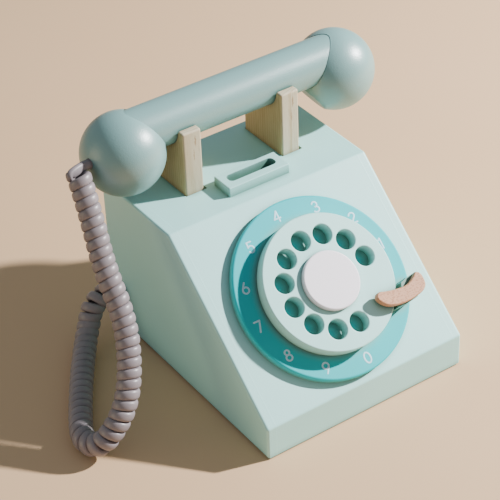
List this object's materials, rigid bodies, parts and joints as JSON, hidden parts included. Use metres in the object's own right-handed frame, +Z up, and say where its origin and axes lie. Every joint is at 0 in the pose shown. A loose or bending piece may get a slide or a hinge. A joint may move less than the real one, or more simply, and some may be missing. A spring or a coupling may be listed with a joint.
{
  "type": "toy rotary telephone",
  "caption": "Wooden play telephone: a wedge-shaped body with a turning finger wheel, a card slot, and a ball-ended handset that rests in two posts and hangs on a curly cord.",
  "frame": {"origin": "centre of the base board's underside, on the surface that the telephone stands on", "axes": "+Z up, -Y towards the person who dials, +X to that person's right along the handset"},
  "size_m": [0.2604, 0.165, 0.1596],
  "materials": {
    "body_paint": "smooth matte pale mint paint on board",
    "handset_paint": "smooth matte pale mint paint on turned wood",
    "wheel_paint": "smooth matte pale mint paint on board",
    "ring_paint": "smooth matte turquoise paint on board",
    "cap_paint": "smooth matte pinkish white paint",
    "post_plywood": "bare pale wood with upright stripes of the layers",
    "stop_wood": "bare beech with fine flecks",
    "base_plywood": "bare plywood",
    "inner_wood": "bare softwood",
    "dowel_wood": "bare turned dowel",
    "zinc_steel": "zinc plated",
    "cord_plastic": "satin taupe plastic",
    "collar_rubber": "matte"
  },
  "bodies": {
    "base": {"side_panel_left": "body_paint", "side_panel_right": "body_paint", "front_lip": "body_paint", "dial_panel": "body_paint", "back_panel": "body_paint", "top_panel": "body_paint", "base_panel": "base_plywood", "corner_blocks": "inner_wood", "base_screws": "zinc_steel", "cradle_post_left": "post_plywood", "cradle_post_right": "post_plywood", "post_ledge": "inner_wood", "post_dowels": "dowel_wood", "card_slot_block": "body_paint", "number_disc": "ring_paint", "stop_block": "body_paint", "finger_stop": "stop_wood", "stop_dowels": "dowel_wood", "dial_spindle": "zinc_steel", "spindle_keeper_screw": "zinc_steel", "spindle_washer": "zinc_steel", "spindle_nut": "zinc_steel", "cord_end_body": "cord_plastic", "cord_collar": "collar_rubber", "curly_cord": "cord_plastic"},
    "wheel": {"finger_wheel": "wheel_paint", "dial_cap": "cap_paint"},
    "handset": {"handset_ball_left": "handset_paint", "handset_ball_right": "handset_paint", "handset_handle": "handset_paint", "handset_dowels": "dowel_wood", "cord_end_handset": "cord_plastic"}
  },
  "joints": [
    {"name": "finger wheel spin", "type": "hinge", "parent": "base", "child": "wheel", "pos_m": [0, -0.03751, 0.06134], "axis": [0, -0.6574, 0.7536], "continuous": true},
    {"name": "handset lift", "type": "slide", "parent": "base", "child": "handset", "axis": [0, 0, 1], "range_m": [0, 0.12]}
  ]
}
